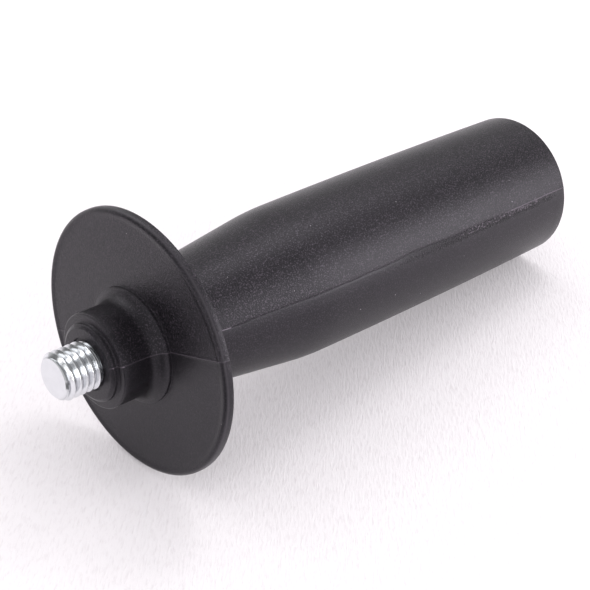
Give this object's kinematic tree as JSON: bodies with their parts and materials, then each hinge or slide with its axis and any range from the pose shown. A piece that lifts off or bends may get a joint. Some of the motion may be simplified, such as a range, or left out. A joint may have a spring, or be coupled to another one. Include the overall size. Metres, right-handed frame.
{
  "type": "power tool side handle",
  "caption": "Hollow moulded side handle with a barrel grip, tapered neck, hand-guard flange, boss and a threaded steel stud.",
  "frame": {"origin": "centre of the rear face, on which the handle stands", "axes": "+Z along the handle's axis, from the rear face through the flange and out of the threaded stud"},
  "size_m": [0.0562, 0.0562, 0.136],
  "materials": {
    "black_nylon": "spark-eroded moulded grain, satin sheen",
    "zinc_plated_steel": "bright zinc plate on a rolled thread"
  },
  "bodies": {
    "root": {"handle": "black_nylon", "stud": "zinc_plated_steel"}
  },
  "joints": []
}
